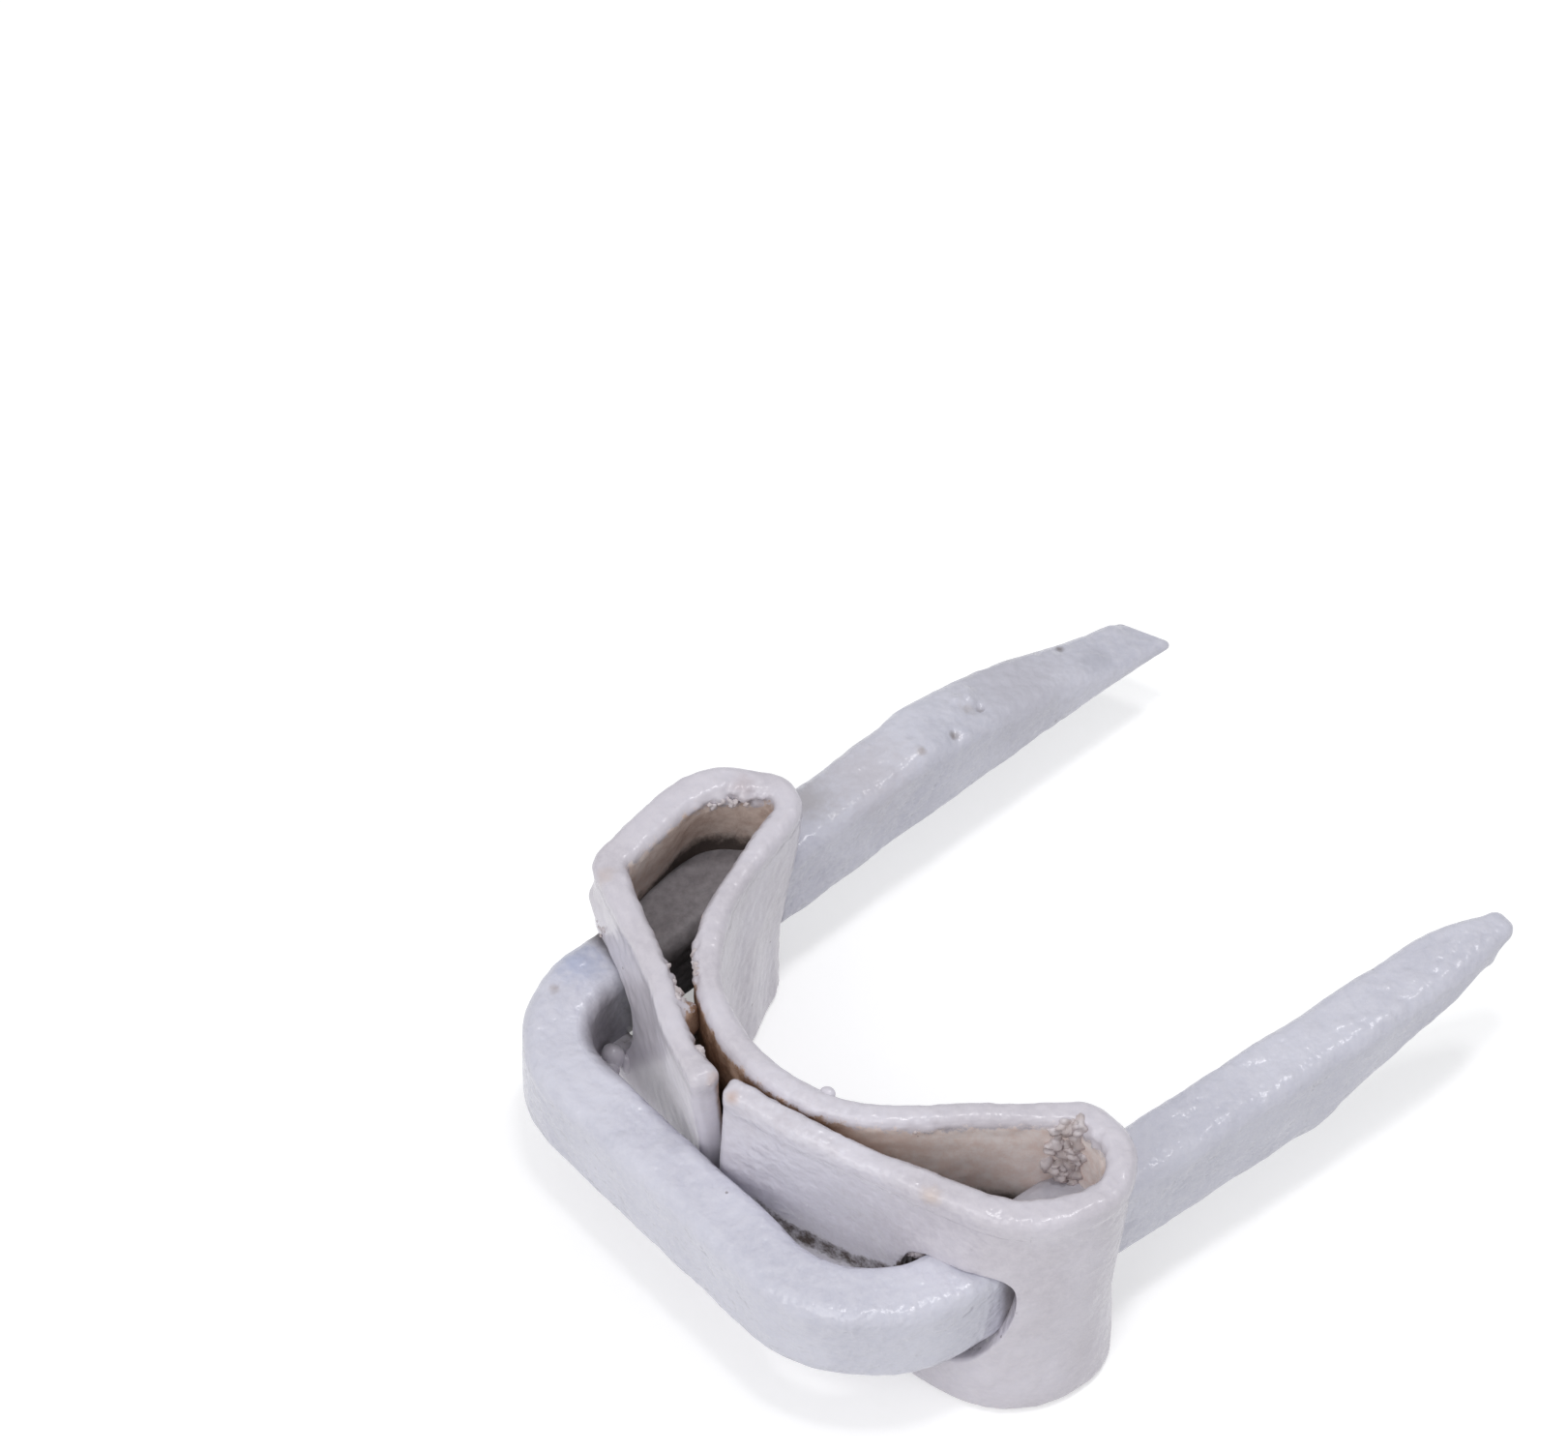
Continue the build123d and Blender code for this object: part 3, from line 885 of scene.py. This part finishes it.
# %% Ripple of the enamel
# The height is a fine noise and a broad one, the cloud drifts slowly and the mottle is a fine grain.
# The wrinkles lie along wire and strip, so the place is stretched upwards before the noises read it
ripple_group, given, result = new_group(
    "enamel_ripple", {"Ripple Scale": 4200.0, "Cloud Scale": 500.0}, ["Height", "Cloud", "Mottle"]
)
tree = ripple_group
stretch = {0: object_place(tree), 1: (1.0, 1.0, 1.15)}
coords = new_node(tree, "ShaderNodeVectorMath", stretch, operation="MULTIPLY").outputs["Vector"]
ripple_scale = given.outputs["Ripple Scale"]
peel = noise_node(tree, coords, ripple_scale, 1.5, 0.5)
broad = noise_node(tree, coords, math_node(tree, "MULTIPLY", ripple_scale, 0.4))
tall = math_node(tree, "MULTIPLY", broad, 1.4)
cloud = noise_node(tree, coords, given.outputs["Cloud Scale"], 3.0)
fine = noise_node(tree, coords, ripple_scale, 3.0, 0.7)
feed(tree, result, {
    "Height": math_node(tree, "ADD", peel, tall),
    "Cloud": ramp(tree, cloud, 0.3, 0.7),
    "Mottle": ramp(tree, fine, 0.32, 0.68),
})
print(tree.name, "nodes", len(tree.nodes))

# %% Specks of grit
# A Voronoi cell in four holds a speck, and the speck is what lies near the cell's centre
grit_group, given, result = new_group("grit_specks", {"Scale": 900.0, "Size": 0.1}, ["Specks"])
tree = grit_group
grid = {"Vector": object_place(tree), "Scale": given.outputs["Scale"]}
cells = new_node(tree, "ShaderNodeTexVoronoi", grid)
draw = new_node(tree, "ShaderNodeSeparateColor", {0: cells.outputs["Color"]})
rare = math_node(tree, "GREATER_THAN", draw.outputs[0], 0.72)
near = math_node(tree, "LESS_THAN", cells.outputs["Distance"], given.outputs["Size"])
feed(tree, result, {"Specks": math_node(tree, "MULTIPLY", rare, near)})
print(tree.name, "nodes", len(tree.nodes))

# %% Soft discs for stains and painted shade and light
# A disc is the distance from its centre over its radius, with a wobble, turned into a soft mask
stain_and_painted_light_group, given, result = new_group("stain_and_painted_light_disc", {"Radius": 0.001}, ["Mask"])
stain_and_painted_light_group.interface.new_socket("Centre", in_out="INPUT", socket_type="NodeSocketVector")
tree = stain_and_painted_light_group
coords = object_place(tree)
ends = {0: coords, 1: given.outputs["Centre"]}
gap = new_node(tree, "ShaderNodeVectorMath", ends, operation="DISTANCE").outputs["Value"]
share = math_node(tree, "DIVIDE", gap, given.outputs["Radius"])
wobble = math_node(tree, "MULTIPLY", noise_node(tree, coords, 5000.0), 1.1)
disc = ramp(tree, math_node(tree, "ADD", share, wobble), 0.55, 1.75)
feed(tree, result, {"Mask": math_node(tree, "SUBTRACT", 1.0, disc)})
print(tree.name, "nodes", len(tree.nodes))

# %% [markdown]
# ## The enamelled finish
# A semi-gloss enamel is a pale colour under a smooth, gently rippled skin. The colour drifts between
# two greys with a fine mottle, specks of grit show dark, and the ripple breaks the lamp's reflection
# into small sparkles. A sharp reflection needs a low roughness, so the ripple has to be a real bump.

# %% Helper for the enamelled materials
def mix_colour(tree, factor, first, second):
    """A colour Mix node. first and second are colours or sockets. Gives its colour."""
    values = {0: factor, 6: first, 7: second}
    return new_node(tree, "ShaderNodeMix", values, data_type="RGBA").outputs[2]


def attribute_value(tree, name):
    """The value of one of the mesh's own layers."""
    return new_node(tree, "ShaderNodeAttribute", {}, attribute_name=name).outputs["Fac"]


def placed_group(tree, group, values):
    """A node group placed in a material, with its own values on its inputs."""
    return new_node(tree, "ShaderNodeGroup", values, node_tree=group)


# %% The enamelled material
enamel_roughness = 0.24
ripple_depth = 0.052
grit_colour = (0.16, 0.13, 0.12)


def enamel_material(name, pale, deep, tint, stains_and_painted_light, cloud_scale=500.0):
    """An enamelled finish: pale and deep greys by cloud, a tint by mottle, specks, and soft discs given
    as x, y, z, radius in millimetres with a colour, which are stains and also painted shade and light.
    The bump is the ripple's height times the mesh's own ripple value, so a piece without that value is
    smooth."""
    material = bpy.data.materials.new(name)
    material.use_nodes = True
    tree = material.node_tree
    shader = tree.nodes["Principled BSDF"]
    coat = placed_group(tree, ripple_group, {"Cloud Scale": cloud_scale})
    grit = placed_group(tree, grit_group, {"Scale": 1000.0, "Size": 0.04})
    mottle = math_node(tree, "MULTIPLY", coat.outputs["Mottle"], 0.45)
    specks = math_node(tree, "MULTIPLY", grit.outputs["Specks"], 0.6)
    colour = mix_colour(tree, coat.outputs["Cloud"], deep, pale)
    colour = mix_colour(tree, mottle, colour, tint)
    colour = mix_colour(tree, specks, colour, grit_colour)
    # Soft discs over the colour: stains, and painted shade and light
    for x, y, z, radius, mark_colour in stains_and_painted_light:
        spot = {"Centre": (x * MM, y * MM, z * MM), "Radius": radius * MM}
        soft_mark = placed_group(tree, stain_and_painted_light_group, spot)
        colour = mix_colour(tree, soft_mark.outputs["Mask"], colour, mark_colour)
    height = math_node(tree, "MULTIPLY", coat.outputs["Height"], attribute_value(tree, "ripple"))
    relief = {"Strength": 1.0, "Distance": ripple_depth * MM, "Height": height}
    bump = new_node(tree, "ShaderNodeBump", relief).outputs["Normal"]
    feed(tree, shader, {"Base Color": colour, "Roughness": enamel_roughness, "Normal": bump})
    return material, tree, shader, colour


# %% Finish of the wire
tan = (0.36, 0.29, 0.26)
# Soft discs on the wire. The tan ones are stains. The dark ones in the dimples are painted shade, and
# so are the large darker ones along leg A from bend A to its bevel, where less light falls
wire_stains_and_shade = [
    (-5.45, 5.50, 1.05, 0.20, tan),
    (4.98, 5.27, 1.12, 0.17, tan),
    (9.97, 6.30, -0.15, 0.13, (0.2, 0.17, 0.17)),
    (5.97, 5.30, 0.90, 0.14, (0.33, 0.30, 0.31)),
    (6.70, 5.75, 0.70, 0.24, (0.50, 0.46, 0.46)),
    (7.02, 5.62, 0.62, 0.13, (0.30, 0.27, 0.27)),
    (10.40, 5.60, -0.20, 0.55, (0.54, 0.54, 0.62)),
    (8.40, 5.70, 0.30, 0.60, (0.56, 0.55, 0.62)),
    (-6.11, 4.23, 1.11, 0.10, (0.38, 0.37, 0.40)),
    (-4.6, 5.75, 1.05, 0.75, (0.48, 0.51, 0.65)),
    (2.2, 5.9, 1.11, 0.80, (0.54, 0.52, 0.55)),
    (3.6, 5.6, 1.15, 1.50, (0.63, 0.61, 0.67)),
    (8.3, 5.9, 0.35, 2.00, (0.59, 0.58, 0.65)),
]
wire_finish, tree, shader, colour = enamel_material(
    "enamel_on_steel", (0.70, 0.70, 0.79), (0.60, 0.60, 0.69), (0.74, 0.73, 0.80), wire_stains_and_shade
)
# Dust and painted shade: a high value turns the colour to a dark dusty grey and dulls the enamel
dust_and_shade = attribute_value(tree, "dust_and_shade")
dust = noise_node(tree, object_place(tree), 4200.0, 4.0, 0.7)
dust_and_shade_colour = mix_colour(tree, dust, (0.07, 0.06, 0.063), (0.36, 0.33, 0.35))
dull = math_node(tree, "MULTIPLY_ADD", dust_and_shade, 0.35, enamel_roughness)
feed(tree, shader, {"Base Color": mix_colour(tree, dust_and_shade, colour, dust_and_shade_colour), "Roughness": dull})
staple.data.materials.append(wire_finish)
print(wire_finish.name, "nodes", len(tree.nodes))

# %% [markdown]
# ## The strip's finish
# Inside the folds the enamel only dusted the fibre: near the rim it is a thin pale film, and deeper
# down the tan fibre is bare. The mesh carries how far each point lies below the rim and whether it is
# on the inner face, and a noisy threshold between them makes the ragged border.

# %% Finish of the strip
rosy = (0.60, 0.46, 0.42)
strip_stains_and_light = [
    (-5.35, -0.55, 3.1, 0.22, rosy),
    (-5.35, 0.15, 3.1, 0.20, rosy),
    (-3.75, -5.35, 3.1, 0.30, (0.66, 0.57, 0.55)),
    (0.30, 5.9, 3.1, 0.35, (0.62, 0.56, 0.60)),
    (-3.6, 5.9, 3.1, 0.30, (0.64, 0.57, 0.58)),
    (-3.35, -6.35, 1.9, 0.09, (0.2, 0.17, 0.17)),
    # Painted light: a large pale disc that lightens the outer face of wall B
    (-5.0, -2.5, 1.4, 2.80, (0.80, 0.78, 0.86)),
]
strip_finish, tree, shader, colour = enamel_material(
    "enamel_on_fibre", (0.72, 0.69, 0.76), (0.62, 0.585, 0.64), (0.76, 0.72, 0.77), strip_stains_and_light
)
print("stains on the strip", len(strip_stains_and_light))

# %% Bare fibre, painted pocket shade, and dirt with painted shade on the strip
coords = object_place(tree)
inner = attribute_value(tree, "inside")
below = attribute_value(tree, "below_film")
spray = attribute_value(tree, "spray")
rag = math_node(tree, "SUBTRACT", noise_node(tree, coords, 4200.0, 4.0, 0.7), 0.5)
edge_depth = math_node(tree, "ADD", below, math_node(tree, "MULTIPLY", rag, 0.9))
bare = math_node(tree, "MULTIPLY", ramp(tree, edge_depth, 0.15, 0.31), inner)
fuzz = ramp(tree, noise_node(tree, coords, 2400.0, 5.0, 0.75), 0.32, 0.68)
fibre = mix_colour(tree, fuzz, (0.28, 0.16, 0.10), (0.66, 0.47, 0.36))
fibre = mix_colour(tree, ramp(tree, below, 0.5, 2.0), fibre, (0.20, 0.125, 0.085))
dusted = mix_colour(tree, fuzz, (0.88, 0.74, 0.69), (0.98, 0.91, 0.89))
fibre = mix_colour(tree, spray, fibre, dusted)
# Painted shade: deep in the folds the fibre goes nearly black
ragged_pocket_shade = math_node(tree, "ADD", attribute_value(tree, "painted_pocket_shade"), rag)
fibre = mix_colour(tree, ramp(tree, ragged_pocket_shade, 0.1, 1.0), fibre, (0.06, 0.045, 0.04))
colour = mix_colour(tree, bare, colour, fibre)
# Dirt and painted shade: dark brown in the corner by the crown and on the slots' walls, and duller
dirt_and_shade_mask = math_node(tree, "ADD", attribute_value(tree, "dirt_and_shade"), math_node(tree, "MULTIPLY", rag, 1.6))
dirt_and_shade_mask = ramp(tree, dirt_and_shade_mask, 0.4, 1.25)
colour = mix_colour(tree, dirt_and_shade_mask, colour, (0.075, 0.052, 0.042))
matt = math_node(tree, "MAXIMUM", bare, dirt_and_shade_mask)
matt = math_node(tree, "MULTIPLY_ADD", matt, 0.55, enamel_roughness)
feed(tree, shader, {"Base Color": colour, "Roughness": matt})
strap.data.materials.append(strip_finish)
drips.data.materials.append(strip_finish)
print(strip_finish.name, "nodes", len(tree.nodes))

# %% Finish of the crumbs
crumb_finish, tree, shader, colour = enamel_material(
    "enamel_crumb", (0.72, 0.67, 0.70), (0.48, 0.40, 0.38), (0.68, 0.63, 0.65), [], 2600.0
)
feed(tree, shader, {"Roughness": 0.6})
crumbs.data.materials.append(crumb_finish)
print(crumb_finish.name, "nodes", len(tree.nodes))

# %% [markdown]
# ## Stage, light and camera
# The staple lies on its side on a pale floor. The world is an even soft light and gives the pale
# surround. Two small lamps overhead give the sparkles, and a large soft one in front lights the walls
# that face the camera and reaches down into the folds.

# %% Floor
half = 1.0
floor_z = cad_box[0].z - 0.00002
floor_mesh = bpy.data.meshes.new("floor")
floor_mesh.from_pydata(
    [(-half, -half, floor_z), (half, -half, floor_z), (half, half, floor_z), (-half, half, floor_z)],
    [],
    [(0, 1, 2, 3)],
)
floor = stand("floor", floor_mesh)
print("floor at", round(floor_z / MM, 2), "mm")

# %% Finish of the floor
# Light Path lets the camera see the floor as white, while it lights the staple as a plain grey one
floor_glow = 0.42
floor_finish = bpy.data.materials.new("pale_floor")
floor_finish.use_nodes = True
tree = floor_finish.node_tree
path = new_node(tree, "ShaderNodeLightPath", {})
seen = math_node(tree, "MAXIMUM", path.outputs["Is Camera Ray"], path.outputs["Is Glossy Ray"])
feed(tree, tree.nodes["Principled BSDF"], {
    "Base Color": (0.8, 0.8, 0.8),
    "Roughness": 0.9,
    "Specular IOR Level": 0.0,
    "Emission Color": (1, 1, 1),
    "Emission Strength": math_node(tree, "MULTIPLY", seen, floor_glow),
})
floor.data.materials.append(floor_finish)

# %% World
world = bpy.data.worlds.new("studio")
bpy.context.scene.world = world
world.use_nodes = True
tree = world.node_tree
tree.nodes.clear()
seen = new_node(tree, "ShaderNodeLightPath", {}).outputs["Is Camera Ray"]
soft = new_node(tree, "ShaderNodeBackground", {"Color": (0.97, 0.98, 1.0), "Strength": 0.475})
pale = new_node(tree, "ShaderNodeBackground", {"Strength": 1.0})
sky = new_node(tree, "ShaderNodeMixShader", {0: seen, 1: soft.outputs[0], 2: pale.outputs[0]})
new_node(tree, "ShaderNodeOutputWorld", {0: sky.outputs[0]})
print("world light", round(soft.inputs["Strength"].default_value, 3))

# %% Lamps
def soft_lamp(name, direction, distance, size, power):
    """A square area lamp that stands at a direction from the staple and faces it."""
    data = bpy.data.lights.new(name, "AREA")
    data.shape = "SQUARE"
    data.size = size
    data.energy = power
    lamp = stand(name, data)
    lamp.location = np.array(direction) / np.linalg.norm(direction) * distance
    lamp.rotation_euler = lamp.location.to_track_quat("Z", "Y").to_euler()
    print(name, power, "W")


soft_lamp("right_lamp", (0.24, -0.05, 0.97), 0.3, 0.040, 0.120)
soft_lamp("left_lamp", (-0.05, -0.12, 0.99), 0.3, 0.036, 0.125)
soft_lamp("front_lamp", (-0.74, -0.20, 0.65), 0.12, 0.08, 0.042)

# %% Camera
# The photo was measured in a frame with its own origin, and the picture's middle was found in it
azimuth = math.radians(-39.8)
elevation = math.radians(52.0)
view_back = np.array([
    math.sin(azimuth) * math.cos(elevation),
    -math.cos(azimuth) * math.cos(elevation),
    math.sin(elevation),
])
view_right = np.array([math.cos(azimuth), math.sin(azimuth), 0])
view_up = np.cross(view_back, view_right)
measuring_origin = np.array([5.83, 0.72, 0])
eye = 1.3936 * view_right + 10.383 * view_up + 300 * view_back - measuring_origin
camera_data = bpy.data.cameras.new("camera")
camera_data.sensor_width = 36.0
camera_data.lens = 8.698 * camera_data.sensor_width
camera_data.clip_start = 0.01
camera_data.clip_end = 10
camera = stand("camera", camera_data)
turn = Matrix((view_right, view_up, view_back)).transposed()
camera.matrix_world = Matrix.Translation(eye * MM) @ turn.to_4x4()
bpy.context.scene.camera = camera
bpy.context.scene.view_settings.view_transform = "Standard"
print("camera lens", round(camera_data.lens, 1), "mm")
